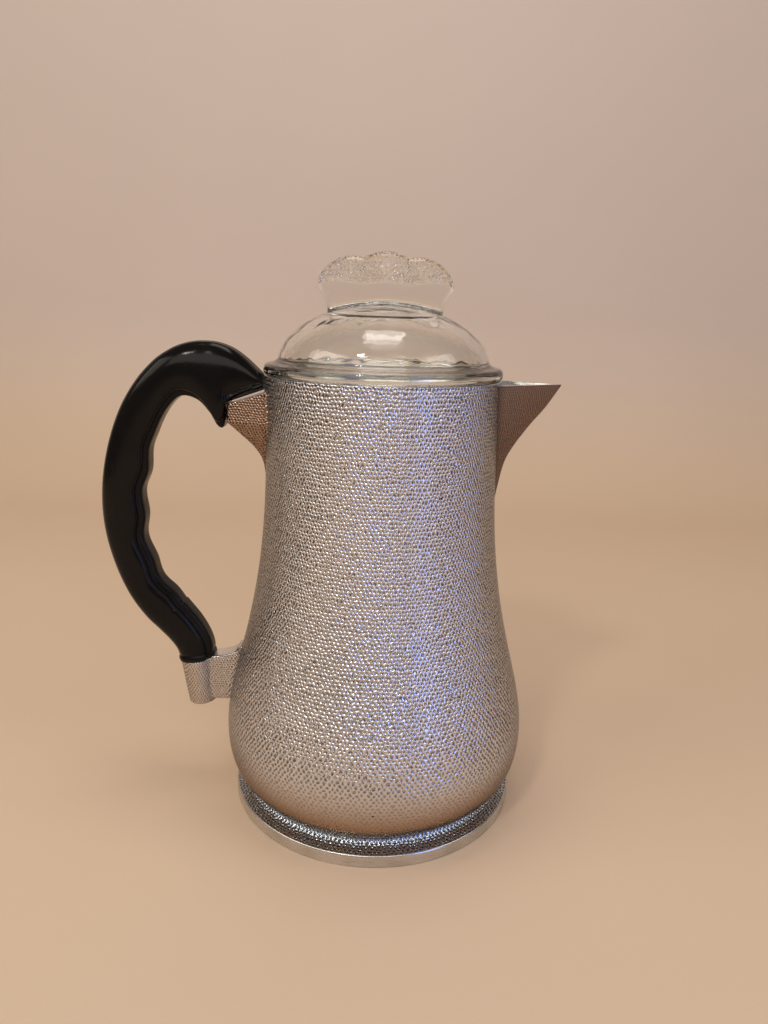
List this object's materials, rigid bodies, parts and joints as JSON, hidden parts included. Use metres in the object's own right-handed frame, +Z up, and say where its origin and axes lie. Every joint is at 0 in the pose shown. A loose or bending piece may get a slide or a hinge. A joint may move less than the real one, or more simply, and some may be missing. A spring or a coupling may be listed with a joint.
{
  "type": "stovetop percolator coffee pot",
  "caption": "Pear-shaped cast aluminium stovetop percolator with an open V spout, a curved moulded side handle, a clear glass lid with a fan finial, and a lift-out pump and coffee basket.",
  "frame": {"origin": "centre of the flat base, on the surface that the pot stands on", "axes": "+Z up along the pot's axis, +X towards the pouring spout, -X towards the handle, Y across"},
  "size_m": [0.2259, 0.1556, 0.2763],
  "materials": {
    "cast_aluminium": "hammered, satin",
    "polished_aluminium": "machined and polished",
    "spun_aluminium": "spun, light satin",
    "black_phenolic": "moulded, glossy",
    "clear_glass": "pressed, clear",
    "plated_steel": "plated",
    "brass": "turned"
  },
  "bodies": {
    "pot": {"body_shell": "cast_aluminium", "foot_ring": "polished_aluminium", "pouring_spout": "cast_aluminium", "upper_handle_bracket": "cast_aluminium", "lower_handle_socket": "cast_aluminium", "handle_grip": "black_phenolic", "handle_bolt": "plated_steel", "handle_lock_washer": "plated_steel", "handle_insert": "brass"},
    "pump": {"pump_tube": "spun_aluminium", "pump_bell": "spun_aluminium", "bell_plate": "spun_aluminium", "basket_stop": "spun_aluminium"},
    "valve": {"valve_washer": "plated_steel"},
    "basket": {"coffee_basket": "spun_aluminium", "basket_sleeve": "spun_aluminium"},
    "spreader": {"spreader_lid": "spun_aluminium"},
    "lid": {"glass_lid": "clear_glass"}
  },
  "joints": [
    {"name": "pump_lift", "type": "slide", "parent": "pot", "child": "pump", "axis": [0, 0, 1], "range_m": [0, 0.23]},
    {"name": "valve_lift", "type": "slide", "parent": "pump", "child": "valve", "axis": [0, 0, 1], "range_m": [0, 0.004]},
    {"name": "basket_lift", "type": "slide", "parent": "pump", "child": "basket", "axis": [0, 0, 1], "range_m": [0, 0.08]},
    {"name": "spreader_lift", "type": "slide", "parent": "basket", "child": "spreader", "axis": [0, 0, 1], "range_m": [0, 0.03]},
    {"name": "lid_lift", "type": "slide", "parent": "spreader", "child": "lid", "axis": [0, 0, 1], "range_m": [0, 0.1]}
  ]
}
